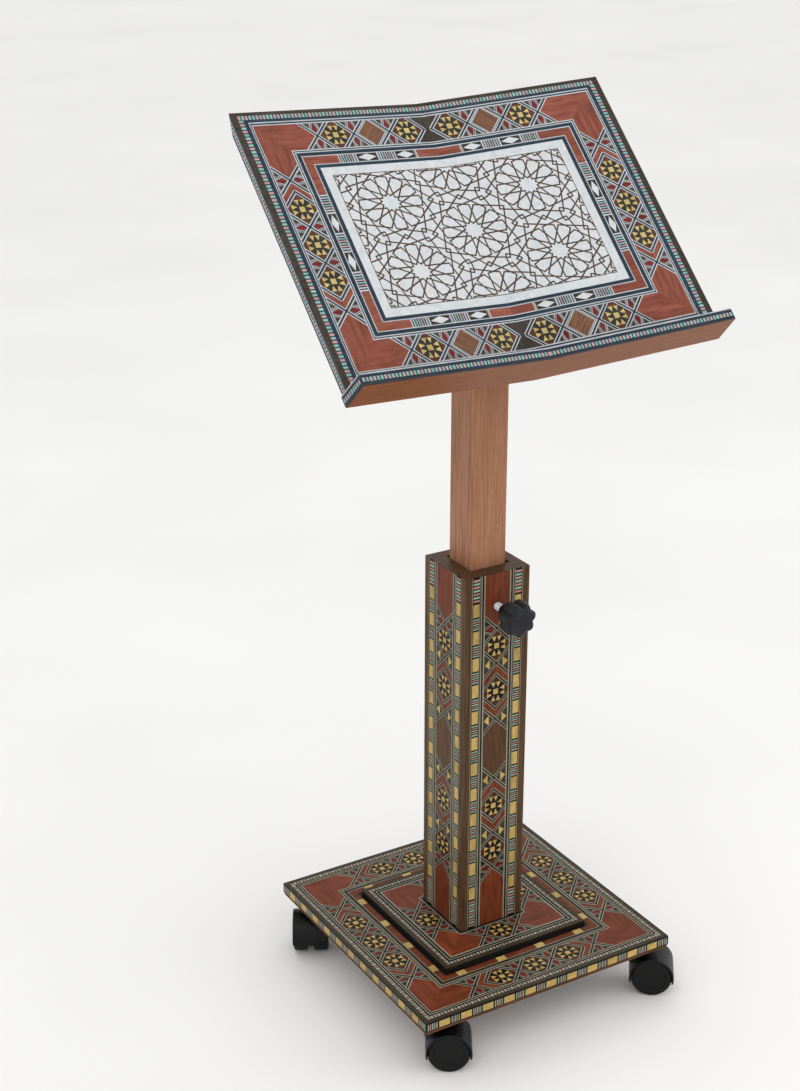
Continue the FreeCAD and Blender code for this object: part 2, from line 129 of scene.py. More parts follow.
def cell_of(point):
    return math.floor(point.x / GRID), math.floor(point.y / GRID)


def cells_under(shape):
    """Every grid cell that an outline's box touches."""
    low_x, low_y = cell_of(Vector((min(p.x for p in shape), min(p.y for p in shape))))
    high_x, high_y = cell_of(Vector((max(p.x for p in shape), max(p.y for p in shape))))
    return [(x, y) for x in range(low_x, high_x + 1) for y in range(low_y, high_y + 1)]


def holds(shape, point):
    """Whether a convex anticlockwise outline has the point inside."""
    return all((b - a).cross(point - a) >= -1e-4 for a, b in zip(shape, shape[1:] + shape[:1]))


class Pen:
    """Lays tiles of veneer, in millimetres. Later tiles cover earlier ones."""

    def __init__(self, tiles, region, place=None):
        self.tiles = tiles
        self.region = region
        self.place = place or Matrix.Identity(4)

    def at(self, x, y, turn=0.0, stretch=(1, 1)):
        shift = Matrix.Translation((x, y, 0)) @ Matrix.Rotation(math.radians(turn), 4, "Z")
        step = shift @ Matrix.Diagonal((stretch[0], stretch[1], 1, 1))
        return Pen(self.tiles, self.region, self.place @ step)

    def within(self, points):
        region = self.moved(points)
        if area(region) < 0:
            region.reverse()
        return Pen(self.tiles, clipped(region, self.region), self.place)

    def moved(self, points):
        return [(self.place @ Vector((x, y, 0))).to_2d() for x, y in points]

    def lay(self, wood, points, along):
        if area(points) < 0:
            points = points[::-1]
        shape = [snapped(p) for p in clipped(points, self.region)] if len(self.region) > 2 else []
        if len(shape) > 2 and area(shape) > 0.01:
            self.tiles.append((wood, shape, along.normalized()))

    def tile(self, wood, points, grain=0.0):
        turn = math.radians(grain)
        along = self.place.to_3x3() @ Vector((math.cos(turn), math.sin(turn), 0))
        self.lay(wood, self.moved(points), along.to_2d())

    def rect(self, wood, x0, y0, x1, y1, grain=0.0):
        self.tile(wood, oblong(x0, y0, x1, y1), grain)

    def line(self, wood, start, end, width, cap=0.0):
        """A straight strip whose width isn't changed by the pen's stretch."""
        a, b = self.moved([start, end])
        along = (b - a).normalized()
        out = Vector((-along.y, along.x)) * width / 2
        a, b = a - along * cap, b + along * cap
        self.lay(wood, [a - out, b - out, b + out, a + out], along)


class Panel:
    """A flat slab of marquetry with a convex outline and, at times, a square hole."""

    def __init__(self, outline, ground, hole=None, under=None):
        self.outline = [snapped(p) for p in outline]
        self.hole = [snapped(p) for p in hole] if hole else []
        self.under = [snapped(p) for p in under or outline]
        self.tiles = []
        self.pen = Pen(self.tiles, self.outline)
        self.pen.tile(ground, [tuple(p) for p in outline])

    def partition(self):
        """Flat points, and triangles with the number of the tile on top of each."""
        shapes = [shape for _, shape, _ in self.tiles] + ([self.hole] if self.hole else [])
        points = []
        edges = []
        cells = {}
        for number, shape in enumerate(shapes):
            first = len(points)
            points += shape
            edges += [(first + i, first + (i + 1) % len(shape)) for i in range(len(shape))]
            for cell_here in cells_under(shape):
                cells.setdefault(cell_here, []).append(number)
        spots, _, triangles, _, _, _ = delaunay_2d_cdt(points, edges, [], 0, 1e-3, False)
        kept = []
        tops = []
        for triangle in triangles:
            centre = sum((spots[i] for i in triangle), Vector((0, 0))) / 3
            candidates = cells[cell_of(centre)]
            top = next((n for n in reversed(candidates) if holds(shapes[n], centre)), None)
            if top is not None and top < len(self.tiles):
                kept.append(list(triangle))
                tops.append(top)
        return spots, kept, tops

    def wall(self, spots, rim, a, b):
        """Numbers of the rim points from b back to a along one side of an outline."""
        side = b - a
        on_side = []
        for i in rim:
            step = (spots[i] - a).dot(side) / side.length_squared
            if abs(side.cross(spots[i] - a)) / side.length < ON_LINE and -1e-5 < step < 1 + 1e-5:
                on_side.append((step, i))
        return [i for _, i in sorted(on_side, reverse=True)]

    def build(self, name, origin, across, up, down):
        """Closed slab. The drawing's zero is at origin, its X runs across and its Y runs up."""
        spots, triangles, tops = self.partition()
        flip = across.cross(up).dot(down) > 0
        place = [origin + (across * p.x + up * p.y) * MM for p in spots]
        edges = {}
        for t in triangles:
            for i, j in zip(t, t[1:] + t[:1]):
                key = (min(i, j), max(i, j))
                edges[key] = edges.get(key, 0) + 1
        rim = sorted({i for key, uses in edges.items() if uses == 1 for i in key})
        faces = list(triangles)
        corners = []
        for top_points, low_points in ((self.outline, self.under), (self.hole, self.hole)):
            start = len(place)
            place += [origin + (across * p.x + up * p.y) * MM + down for p in low_points]
            spots = spots + list(low_points)
            corners.append([start + i for i in range(len(low_points))])
            for i in range(len(top_points)):
                j = (i + 1) % len(top_points)
                tops_back = self.wall(spots, rim, top_points[i], top_points[j])
                side = [start + i, start + j] + tops_back
                faces.append(side if top_points is self.outline else side[::-1])
        if self.hole:
            outer, inner = corners
            for i in range(len(outer)):
                j = (i + 1) % len(outer)
                faces.append([inner[i], inner[j], outer[j], outer[i]])
        else:
            faces.append(corners[0][::-1])
        if flip:
            faces = [face[::-1] for face in faces]
        tiles = [self.tiles[i] for i in tops] + [self.tiles[0]] * (len(faces) - len(tops))
        seeds = tops + [0] * (len(faces) - len(tops))
        return self.mesh_object(name, place, spots, faces, tiles, seeds)

    def mesh_object(self, name, place, spots, faces, tiles, seeds):
        mesh = bpy.data.meshes.new(name)
        mesh.from_pydata(place, [], faces)
        woods = sorted({wood for wood, _, _ in tiles})
        for wood in woods:
            mesh.materials.append(veneer(wood))
        mesh.polygons.foreach_set("material_index", [woods.index(t[0]) for t in tiles])
        rng = random.Random(name)
        chance = [rng.random() * 40 for _ in range(len(self.tiles))]
        grain = []
        for face, (_, _, along), seed in zip(faces, tiles, seeds):
            for i in face:
                grain += [spots[i].dot(along), along.cross(spots[i]), chance[seed]]
        layer = mesh.attributes.new("grain", "FLOAT_VECTOR", "CORNER")
        layer.data.foreach_set("vector", grain)
        mesh.update()
        return placed(name, mesh)


# ---- finishes

def srgb(r, g, b):
    """Linear colour from 0 to 255 screen values."""
    linear = [c / 255 / 12.92 if c < 11 else ((c / 255 + 0.055) / 1.055) ** 2.4 for c in (r, g, b)]
    return (*linear, 1)


# Dark and light grain colour, length and width of the figure in millimetres, and roughness
# The desk_ woods are the stand's woods painted lighter and bluer: painted light from the sky on the tilted desk.
# The stand's woods are darker partly for their lacquer and partly as painted shade.
VENEERS = {
    "desk_walnut": ((46, 41, 38), (78, 70, 63), 30, 1.2, 0.34),
    "desk_black": ((26, 36, 46), (58, 74, 90), 24, 0.8, 0.30),
    "desk_white": ((168, 174, 180), (205, 209, 212), 20, 0.7, 0.32),
    "desk_red": ((118, 62, 50), (152, 90, 74), 34, 5.0, 0.34),
    "desk_dark_red": ((92, 32, 34), (128, 52, 50), 18, 2.0, 0.30),
    "desk_ground": ((70, 44, 34), (104, 66, 48), 14, 1.4, 0.34),
    "desk_dark": ((42, 40, 38), (68, 64, 58), 12, 1.0, 0.34),
    "desk_grey": ((84, 84, 78), (130, 128, 118), 10, 1.0, 0.36),
    "desk_brown": ((94, 64, 49), (134, 98, 76), 26, 2.0, 0.34),
    "desk_yellow": ((176, 154, 94), (212, 192, 132), 12, 1.4, 0.34),
    "desk_pink": ((172, 132, 132), (208, 166, 166), 6, 0.9, 0.36),
    "desk_green": ((112, 158, 152), (152, 194, 186), 6, 0.9, 0.36),
    "strap": ((64, 52, 43), (96, 80, 67), 14, 0.8, 0.36),
    "walnut_margin": ((44, 38, 28), (70, 61, 45), 34, 1.4, 0.40),
    "black": ((12, 12, 12), (28, 27, 26), 26, 0.8, 0.28),
    "white": ((120, 117, 101), (160, 156, 137), 20, 0.7, 0.34),
    "red": ((88, 40, 22), (124, 62, 38), 34, 4.0, 0.32),
    "dark_red": ((82, 20, 18), (118, 38, 30), 18, 2.0, 0.28),
    "ground": ((56, 28, 20), (84, 42, 30), 14, 1.4, 0.32),
    "grey": ((40, 36, 28), (68, 62, 49), 10, 1.0, 0.36),
    "brown": ((62, 42, 27), (98, 68, 45), 40, 2.2, 0.34),
    "yellow": ((160, 132, 72), (200, 170, 102), 14, 1.6, 0.32),
    "pink": ((150, 102, 92), (190, 142, 130), 6, 0.9, 0.36),
    "green": ((114, 146, 128), (156, 186, 166), 6, 0.9, 0.36),
}
SATIN = 0.10                 # how strongly the finished woods reflect
finishes = {}


def new_material(name):
    material = bpy.data.materials.new(name)
    material.use_nodes = True
    return material, material.node_tree.nodes, material.node_tree.links


def ramp(nodes, links, amount, stops):
    """The colour that (position, colour) pairs give to an amount."""
    node = nodes.new("ShaderNodeValToRGB")
    links.new(amount, node.inputs["Fac"])
    elements = node.color_ramp.elements
    elements[0].position, elements[0].color = stops[0]
    elements[1].position, elements[1].color = stops[-1]
    for position, colour in stops[1:-1]:
        elements.new(position).color = colour
    return node.outputs["Color"]


def set_inputs(node, values):
    for name, value in values.items():
        node.inputs[name].default_value = value


def noise(nodes, links, vector, scale, detail, roughness=0.5, distortion=0.0):
    node = nodes.new("ShaderNodeTexNoise")
    set_inputs(node, {"Scale": scale, "Detail": detail, "Roughness": roughness,
                      "Distortion": distortion})
    links.new(vector, node.inputs["Vector"])
    return node.outputs["Fac"]


def scaled(nodes, links, vector, factors):
    node = nodes.new("ShaderNodeVectorMath")
    node.operation = "MULTIPLY"
    links.new(vector, node.inputs[0])
    node.inputs[1].default_value = factors
    return node.outputs["Vector"]


def bump(nodes, links, height, strength, distance):
    node = nodes.new("ShaderNodeBump")
    set_inputs(node, {"Strength": strength, "Distance": distance})
    links.new(height, node.inputs["Height"])
    links.new(node.outputs["Normal"], nodes["Principled BSDF"].inputs["Normal"])


def spread(nodes, links, amount, low, high):
    """An amount that runs from 0 to 1, made to run from low to high."""
    node = nodes.new("ShaderNodeMapRange")
    set_inputs(node, {"To Min": low, "To Max": high})
    links.new(amount, node.inputs["Value"])
    return node.outputs["Result"]


def tone(nodes, links, colour, amount, low, high):
    """The colour made darker or lighter by an amount that runs from 0 to 1."""
    node = nodes.new("ShaderNodeVectorMath")
    node.operation = "SCALE"
    links.new(colour, node.inputs[0])
    links.new(spread(nodes, links, amount, low, high), node.inputs["Scale"])
    return node.outputs["Vector"]


def drawn_grain(nodes):
    """A point's place along and across its piece's grain, in millimetres, and the piece's chance."""
    node = nodes.new("ShaderNodeAttribute")
    node.attribute_name = "grain"
    return node.outputs["Vector"]


def part_of(nodes, links, vector, part):
    """The X, Y or Z part of a vector."""
    node = nodes.new("ShaderNodeSeparateXYZ")
    links.new(vector, node.inputs["Vector"])
    return node.outputs[part]


def own_place(nodes):
    return nodes.new("ShaderNodeTexCoord").outputs["Object"]


def wood_colour(nodes, links, vector, dark, light, length, width):
    """Streaks along X with a slower figure under them: the colour, and the streaks alone."""
    streaks = noise(nodes, links, scaled(nodes, links, vector, (1 / length, 1 / width, 1)), 1.0,
                    5.0, 0.6, 0.5)
    figure_vector = scaled(nodes, links, vector, (0.9 / length, 0.16 / width, 1))
    figure = noise(nodes, links, figure_vector, 1.0, 2.0, 0.5, 0.8)
    middle = tuple((a + b) / 2 for a, b in zip(srgb(*dark), srgb(*light)))
    stops = [(0.32, srgb(*dark)), (0.5, middle), (0.68, srgb(*light))]
    colours = ramp(nodes, links, streaks, stops)
    return tone(nodes, links, colours, figure, 0.72, 1.28), streaks


def veneer(name):
    if name in finishes:
        return finishes[name]
    if name == "shell":
        finishes[name] = shell()
        return finishes[name]
    dark, light, length, width, roughness = VENEERS[name]
    material, nodes, links = new_material(name)
    shader = nodes["Principled BSDF"]
    grain = drawn_grain(nodes)
    colour, streaks = wood_colour(nodes, links, grain, dark, light, length, width)
    chance = nodes.new("ShaderNodeTexWhiteNoise")
    chance.noise_dimensions = "1D"
    links.new(part_of(nodes, links, grain, "Z"), chance.inputs["W"])
    piece_tone = tone(nodes, links, colour, chance.outputs["Value"], 0.86, 1.12)
    links.new(piece_tone, shader.inputs["Base Color"])
    set_inputs(shader, {"Roughness": roughness, "Specular IOR Level": SATIN})
    bump(nodes, links, streaks, 0.12, 0.0002)
    finishes[name] = material
    return material


def shell():
    """Mother-of-pearl in small cut pieces: pale, with faint blue, pink and green drifts."""
    material, nodes, links = new_material("shell")
    shader = nodes["Principled BSDF"]
    grain = drawn_grain(nodes)
    drift = noise(nodes, links, grain, 0.09, 4.0, 0.6, 1.6)
    stops = [(0.30, srgb(184, 195, 207)), (0.44, srgb(211, 215, 215)), (0.54, srgb(197, 206, 214)),
             (0.64, srgb(222, 212, 212)), (0.76, srgb(195, 210, 204))]
    colours = ramp(nodes, links, drift, stops)
    plates = nodes.new("ShaderNodeTexVoronoi")
    plates.inputs["Scale"].default_value = 0.12
    links.new(grain, plates.inputs["Vector"])
    plate_tone = part_of(nodes, links, plates.outputs["Color"], "X")
    toned = tone(nodes, links, colours, plate_tone, 0.93, 1.04)
    links.new(toned, shader.inputs["Base Color"])
    set_inputs(shader, {"Roughness": 0.30, "Specular IOR Level": 0.25, "Coat Weight": 0.1,
                        "Coat Roughness": 0.15})
    bump(nodes, links, drift, 0.08, 0.0003)
    return material


def solid_wood(name, dark, light, length, width, turn, roughness, coat):
    """Wood cut from the solid, with its grain along X after the turn in degrees."""
    material, nodes, links = new_material(name)
    shader = nodes["Principled BSDF"]
    mapping = nodes.new("ShaderNodeMapping")
    set_inputs(mapping, {"Rotation": [math.radians(a) for a in turn], "Scale": [1 / MM] * 3})
    links.new(own_place(nodes), mapping.inputs["Vector"])
    rings = scaled(nodes, links, mapping.outputs["Vector"], (1, 1, width / 2.5))
    colour, streaks = wood_colour(nodes, links, rings, dark, light, length, width)
    pores = noise(nodes, links, scaled(nodes, links, mapping.outputs["Vector"], (0.12, 2.6, 2.6)),
                  1.0, 2.0)
    specks = ramp(nodes, links, pores, [(0.36, (0, 0, 0, 1)), (0.46, (1, 1, 1, 1))])
    toned = tone(nodes, links, colour, specks, 0.78, 1.0)
    links.new(toned, shader.inputs["Base Color"])
    set_inputs(shader, {"Roughness": roughness, "Specular IOR Level": SATIN, "Coat Weight": coat,
                        "Coat Roughness": 0.25})
    bump(nodes, links, streaks, 0.15, 0.0002)
    return material


def metal(name, colour, roughness, stretch):
    """Turned or rolled metal with fine marks stretched across one axis."""
    material, nodes, links = new_material(name)
    shader = nodes["Principled BSDF"]
    marks = noise(nodes, links, scaled(nodes, links, own_place(nodes), stretch), 1.0, 4.0, 0.7)
    dull = tuple(c * 0.82 for c in srgb(*colour)[:3]) + (1,)
    shade = ramp(nodes, links, marks, [(0.3, dull), (0.7, srgb(*colour))])
    links.new(shade, shader.inputs["Base Color"])
    rough = spread(nodes, links, marks, roughness * 0.8, roughness * 1.3)
    links.new(rough, shader.inputs["Roughness"])
    shader.inputs["Metallic"].default_value = 1.0
    bump(nodes, links, marks, 0.08, 0.0001)
    return material


def plastic(name, dark, light, roughness, grit):
    """Moulded plastic with a fine skin and faint scuffs."""
    material, nodes, links = new_material(name)
    shader = nodes["Principled BSDF"]
    scuffs = noise(nodes, links, own_place(nodes), 60.0, 4.0, 0.65)
    shade = ramp(nodes, links, scuffs, [(0.35, srgb(*dark)), (0.7, srgb(*light))])
    links.new(shade, shader.inputs["Base Color"])
    rough = spread(nodes, links, scuffs, roughness * 0.8, roughness * 1.25)
    links.new(rough, shader.inputs["Roughness"])
    shader.inputs["Specular IOR Level"].default_value = 0.25
    skin = noise(nodes, links, own_place(nodes), grit, 2.0)
    bump(nodes, links, skin, 0.1, 0.0002)
    return material


# ---- marquetry motifs
# A motif is drawn about the pen's own origin. Along a band X runs along it and Y across it.

def arms(pen, segments, black, white, width=ARM, core=ARM_CORE):
    """Straight inlaid lines, each white, black and white, that cross or meet."""
    for start, end in segments:
        pen.line(white, start, end, width, 0.8)
    for start, end in segments:
        pen.line(black, start, end, core, 0.8)


def darkest(prefix):
    """The dark veneer inside the desk's motifs, or inside the stand's."""
    return prefix + ("dark" if prefix else "black")


def mitred(reach):
    """The trapezoid of a band that meets the next one at 45 degrees, centred on its middle."""
    short = reach - 2 * HALF_BAND
    return [(-reach, -HALF_BAND), (reach, -HALF_BAND), (short, HALF_BAND), (-short, HALF_BAND)]


def rosette(pen, prefix):
    """An octagon with eight yellow darts round a small square."""
    half, chamfer = 12.5, 4.2
    corners = []
    for turn in range(4):
        angle = Matrix.Rotation(math.radians(90 * turn), 2)
        corners += [angle @ Vector((half, chamfer - half)), angle @ Vector((half, half - chamfer))]
    pen.tile(darkest(prefix), [tuple(p) for p in corners])
    for turn in range(4):
        side = pen.at(0, 0, 90 * turn)
        for flip in (-1, 1):
            side.tile(prefix + "yellow", [(flip * 0.5, 12.1), (flip * 6.6, 12.1), (flip * 3.2, 5.4)])
    pen.rect(prefix + "yellow", -3.3, -3.3, 3.3, 3.3)


def cell(pen, start, end, wood, grain=0.0):
    """The lozenge or long hexagon between two crossings on the band's middle line."""
    h = min(HALF_BAND, (end - start) / 2)
    pen.tile(wood, [(start, 0), (start + h, -h), (end - h, -h), (end, 0), (end - h, h),
                    (start + h, h)], grain)


def chevron(pen, start, end, lean, wood):
    """A bent band between two arms that lean the same way."""
    for side in (-1, 1):
        tip = lean * HALF_BAND
        pen.tile(wood, [(start, 0), (end, 0), (end + tip, side * HALF_BAND),
                        (start + tip, side * HALF_BAND)], side * lean * 45)


def crossing_fill(pen, prefix, kind):
    """The two triangles between the arms of a crossing, at the band's edges."""
    h = HALF_BAND
    for turn in (0, 180):
        side = pen.at(0, 0, turn)
        side.tile(prefix + "grey", [(0, 0), (h, h), (-h, h)], 90)
        if kind == "yellow":
            side.tile(prefix + "yellow", [(-6.2, 9.0), (6.2, 9.0), (0, 16.2)])
            continue
        side.tile(darkest(prefix), [(5.6, 9), (11, 16), (7, 16.6)], 45)
        side.tile(darkest(prefix), [(-5.6, 9), (-11, 16), (-7, 16.6)], 45)
        side.tile(prefix + "dark_red", [(0, 3.6), (4.2, 10.4), (1.4, h), (-1.4, h), (-4.2, 10.4)], 90)
        for flip in (-1, 1):
            arms(side, [((flip * 5.2, 9.2), (flip * 1.9, h + 1))], prefix + "black",
                 prefix + "white", 2.4, 1.0)


def v_arms(spot, lean):
    """Two arms from the middle line out past both edges of the band."""
    out = HALF_BAND + 2
    return [((spot, 0), (spot + lean * out, out)), ((spot, 0), (spot + lean * out, -out))]


def x_arms(spot):
    """The four arms of a crossing."""
    return v_arms(spot, 1) + v_arms(spot, -1)


def peg_row(pen, length, width, colours, pitch=PEG_PITCH, peg=PEG_LENGTH):
    """Pegs along X from zero, centred on the pen's Y."""
    count = max(1, round(length / pitch))
    step = length / count
    for i in range(count):
        x = (i + 0.5) * step
        pen.rect(colours[i % len(colours)], x - peg / 2, -width / 2, x + peg / 2, width / 2, 90)


def stripes(pen, start, end, half, colours):
    """Narrow strips across a band."""
    step = (end - start) / len(colours)
    for i, wood in enumerate(colours):
        pen.rect(wood, start + i * step, -half, start + (i + 1) * step, half, 90)


def frames(pen, half_x, half_y, steps):
    """Nested rectangles from the outside in: (inset in X, inset in Y, wood)."""
    for inset_x, inset_y, wood in steps:
        x, y = half_x - inset_x, half_y - inset_y
        pen.rect(wood, -x, -y, x, y)


# ---- desk

# Half the shell field, and how far in from the leaf's edges the bands and pegs are
FIELD_X = 146.9
FIELD_Y = 84.45
BAND_X = 22.2
BAND_Y = 18.2
INNER_BAND_X = 70.95
INNER_BAND_Y = 66.4
PEGS_X = 10.55
PEGS_Y = 7.1
# Nested fields from the edge inwards: inset in X, inset in Y, wood
DESK_FRAMES = [
    (0, 0, "desk_walnut"), (7.7, 4.5, "desk_black"), (18.6, 13.4, "desk_white"),
    (19.7, 14.9, "desk_black"), (21.0, 16.8, "desk_white"), (BAND_X, BAND_Y, "desk_ground"),
    (56.2, 52.2, "desk_white"), (57.4, 53.4, "desk_black"), (58.8, 54.8, "desk_white"),
    (60.0, 56.0, "desk_black"), (64.8, 60.3, "desk_white"), (65.9, 61.4, "desk_red"),
    (76.0, 71.4, "desk_white"), (77.2, 72.6, "desk_black"), (82.2, 76.6, "shell"),
    (93.2, 86.8, "strap"), (94.2, 87.8, "shell"),
]
DESK_PEGS = ["desk_pink", "desk_green", "desk_pink", "desk_green", "desk_green"]
INNER_STRIPES = [
    "desk_white", "desk_black", "desk_white", "desk_black", "desk_pink", "desk_black",
    "desk_green", "desk_black", "desk_pink", "desk_black", "desk_green", "desk_black",
    "desk_white", "desk_black", "desk_white",
]


def strap_rosette(pen):
    """Twelve kite-shaped petals round a twelve-pointed star."""
    inner = 6.5
    reach = 34.8
    lean = math.tan(math.radians(15))
    tip = 23.77
    shoulder = reach - lean * inner
    for turn in range(12):
        axis = pen.at(0, 0, 30 * turn)
        for side in (-1, 1):
            axis.line("strap", (inner, side * inner), (shoulder, side * inner), STRAP, 0.4)
            axis.line("strap", (shoulder, side * inner), (reach + lean * tip, -side * tip), STRAP, 0.4)


def strap_knot(pen, turn):
    """Three small squares, joined, where three rosettes meet."""
    corner = 9.91
    waist = 6.85
    half = 3.06
    for third in range(3):
        here = math.radians(turn + 120 * third)
        there = here + math.radians(120)
        out_here = Vector((math.cos(here), math.sin(here)))
        out_there = Vector((math.cos(there), math.sin(there)))
        left = Vector((-out_here.y, out_here.x))
        right = Vector((out_there.y, -out_there.x))
        route = [out_here * corner, out_here * waist + left * half,
                 out_there * waist + right * half, out_there * corner]
        for a, b in zip(route, route[1:]):
            pen.line("strap", tuple(a), tuple(b), STRAP, 0.4)
        for sign in (-1, 1):
            pen.line("strap", tuple(out_here * corner), tuple(out_here * waist + left * half * sign),
                     STRAP, 0.4)


def strapwork(pen):
    """The shell field's pattern, centred on the fold, inside the field only."""
    field = pen.within(oblong(-FIELD_X, -FIELD_Y, FIELD_X, FIELD_Y))
    column_step = STRAP_PITCH * math.sqrt(3) / 2
    for column in range(-2, 3):
        for row in range(-2, 3):
            x = column * column_step
            y = (row + 0.5 * (column % 2)) * STRAP_PITCH
            flat = field.at(0, 0, 0, (STRAP_STRETCH, 1))
            strap_rosette(flat.at(x, y))
            offset = STRAP_PITCH / math.sqrt(3)
            strap_knot(flat.at(x + offset, y), 180)
            strap_knot(flat.at(x - offset, y), 0)


def lozenge(pen, prefix):
    """A square of plain walnut stood on its corner, with a white border."""
    for reach, wood in ((19.2, "white"), (17.5, "brown")):
        pen.tile(prefix + wood, [(reach, 0), (0, reach), (-reach, 0), (0, -reach)], 45)


def desk_long_band(pen):
    """From the fold outwards, drawn along X."""
    fold_cell, first, second, third = 4.7, 51.3, 98.0, 144.6
    corner = LEAF_WIDTH - BAND_X
    pen.rect("desk_red", third, -HALF_BAND, corner, HALF_BAND)
    for side in (-1, 1):
        pen.tile("desk_walnut", [(0, 0), (fold_cell, 0), (fold_cell + HALF_BAND, side * HALF_BAND),
                                 (0, side * HALF_BAND)], 90)
    cell(pen, fold_cell, first, "desk_ground")
    cell(pen, first, second, "desk_black")
    cell(pen, second, third, "desk_ground")
    for spot in (first, second, third):
        crossing_fill(pen.at(spot, 0), "desk_", "red")
    lozenge(pen.at((first + second) / 2, 0), "desk_")
    rosette(pen.at((fold_cell + first) / 2, 0), "desk_")
    rosette(pen.at((second + third) / 2, 0), "desk_")
    segments = v_arms(fold_cell, 1)
    for spot in (first, second, third):
        segments += x_arms(spot)
    arms(pen, segments, "desk_black", "desk_white")


def side_band(pen, prefix, pitch, apex, cross, reach):
    """Symmetrical about its middle: three rosettes, a chevron, a crossing and a red end."""
    half = pitch / 2
    for lean in (-1, 1):
        pen.rect(prefix + "red", 0, -HALF_BAND, lean * reach, HALF_BAND)
    for middle in (-pitch, 0, pitch):
        cell(pen, middle - half, middle + half, prefix + "ground")
        rosette(pen.at(middle, 0), prefix)
    for lean in (-1, 1):
        crossing_fill(pen.at(lean * half, 0), prefix, "red")
        chevron(pen, lean * apex, lean * cross, -lean, prefix + "red")
        crossing_fill(pen.at(lean * cross, 0), prefix, "red")
    segments = []
    for lean in (-1, 1):
        segments += x_arms(lean * half)
        segments += v_arms(lean * apex, -lean)
        segments += x_arms(lean * cross)
    arms(pen, segments, prefix + "black", prefix + "white")


def shell_lozenge(pen, start, end, half):
    middle = (start + end) / 2
    pen.rect("desk_dark", start, -half, end, half)
    for x in (start, end):
        pen.line("desk_white", (x, -half), (x, half), 0.8)
    pen.tile("shell", [(start + 1.6, 0), (middle, -half + 0.6), (end - 1.6, 0), (middle, half - 0.6)])


def inner_band_long(pen):
    pen.line("desk_white", (29, -5), (29, 5), 1.2)
    shell_lozenge(pen, 31, 57, 5)
    stripes(pen, 57, 80.5, 5, INNER_STRIPES)
    shell_lozenge(pen, 80.5, 107.5, 5)
    stripes(pen, 107.5, 131, 5, INNER_STRIPES)


def inner_band_short(pen):
    stripes(pen, -12, 12, 5.05, INNER_STRIPES)
    for lean in (-1, 1):
        shell_lozenge(pen, *sorted((lean * 12, lean * 37)), 5.05)
        stripes(pen, *sorted((lean * 37, lean * 61)), 5.05, INNER_STRIPES)


def draw_leaf(pen):
    """One leaf: X from the fold outwards, Y from the middle of the desk's length up the slope."""
    half_y = LEAF_LENGTH / 2
    frames(pen, LEAF_WIDTH, half_y, DESK_FRAMES)
    strapwork(pen)
    side_x = LEAF_WIDTH - (BAND_X + HALF_BAND)
    long_y = half_y - (BAND_Y + HALF_BAND)
    inner_x = LEAF_WIDTH - INNER_BAND_X
    inner_y = half_y - INNER_BAND_Y
    for lean in (-1, 1):
        pegs_y = lean * (half_y - PEGS_Y)
        peg_row(pen.at(0, pegs_y), LEAF_WIDTH - 7.7, 5.2, DESK_PEGS)
        row = pen.at(0, lean * long_y, 0, (1, -lean))
        mitre = [(0, -HALF_BAND), (LEAF_WIDTH - BAND_X, -HALF_BAND),
                 (LEAF_WIDTH - (BAND_X + 2 * HALF_BAND), HALF_BAND), (0, HALF_BAND)]
        desk_long_band(row.within(mitre))
        inner_band_long(pen.at(0, lean * inner_y))
    side = pen.at(side_x, 0, 90)
    reach = half_y - BAND_Y
    side_band(side.within(mitred(reach)), "desk_", 45.3, 67.9, 82.2, reach)
    inner_band_short(pen.at(inner_x, 0, 90))
    start = 9.7 - half_y
    peg_row(pen.at(LEAF_WIDTH - PEGS_X, start, 90), -2 * start, 5.6, DESK_PEGS)


# ---- stand

BASE_BAND = 17.4             # from the base's edge to its mosaic band
PLINTH_BAND = 18.4
PEGS = ["pink", "green"]
STAND_STRIPES = ["black", "green", "black", "pink", "black", "green", "black", "pink", "black",
                 "green", "black"]


def column_middle(pen, height):
    """The column's centre band, drawn along X from its top."""
    crossings = [(70, "red"), (115, "yellow"), (188, "yellow"), (267.5, "yellow"), (343, "yellow"),
                 (390.5, "red")]
    closings = [(129.5, 1), (174.5, -1), (283, 1), (328, -1)]
    pen.rect("red", 0, -HALF_BAND, height, HALF_BAND)
    for start, end in ((70, 115), (129.5, 174.5), (283, 328), (343, 390.5)):
        cell(pen, start, end, "ground")
        rosette(pen.at((start + end) / 2, 0), "")
    cell(pen, 188, 267.5, "brown")
    for spot, kind in crossings:
        crossing_fill(pen.at(spot, 0), "", kind)
    segments = []
    for spot, _ in crossings:
        segments += x_arms(spot)
    for spot, lean in closings:
        segments += v_arms(spot, lean)
    arms(pen, segments, "black", "white", 3.8, 1.9)


def column_side(pen, height):
    """Yellow blocks and striped pegs, drawn along X from the column's top."""
    first, pitch, count, block = 42.0, 34.4, 12, 16.4
    pen.rect("black", 0, -4.5, height, 4.5)
    peg_row(pen.at(2, 0), first - block / 2 - 4, 8.4, PEGS, 4.2, 2.6)
    for i in range(count):
        middle = first + i * pitch
        pen.rect("yellow", middle - block / 2, -4.2, middle + block / 2, 4.2)
        if i + 1 < count:
            stripes(pen, middle + block / 2 + 0.8, middle + pitch - block / 2 - 0.8, 4.2, STAND_STRIPES)
    last = first + (count - 1) * pitch + block / 2 + 2
    peg_row(pen.at(last, 0), height - last - 2, 8.4, PEGS, 4.2, 2.6)


def draw_column_panel(pen, height):
    """X from the top down and Y across the face."""
    half = PANEL_WIDTH / 2
    for reach, wood in ((half, "white"), (34.3, "black"), (33.5, "black"), (24.4, "white"),
                        (23.6, "black"), (22.4, "white"), (21.0, "black"), (18.6, "white")):
        pen.rect(wood, 0, -reach, height, reach)
    for side in (-1, 1):
        column_side(pen.at(0, side * 29), height)
    column_middle(pen.within(oblong(0, -HALF_BAND, height, HALF_BAND)), height)


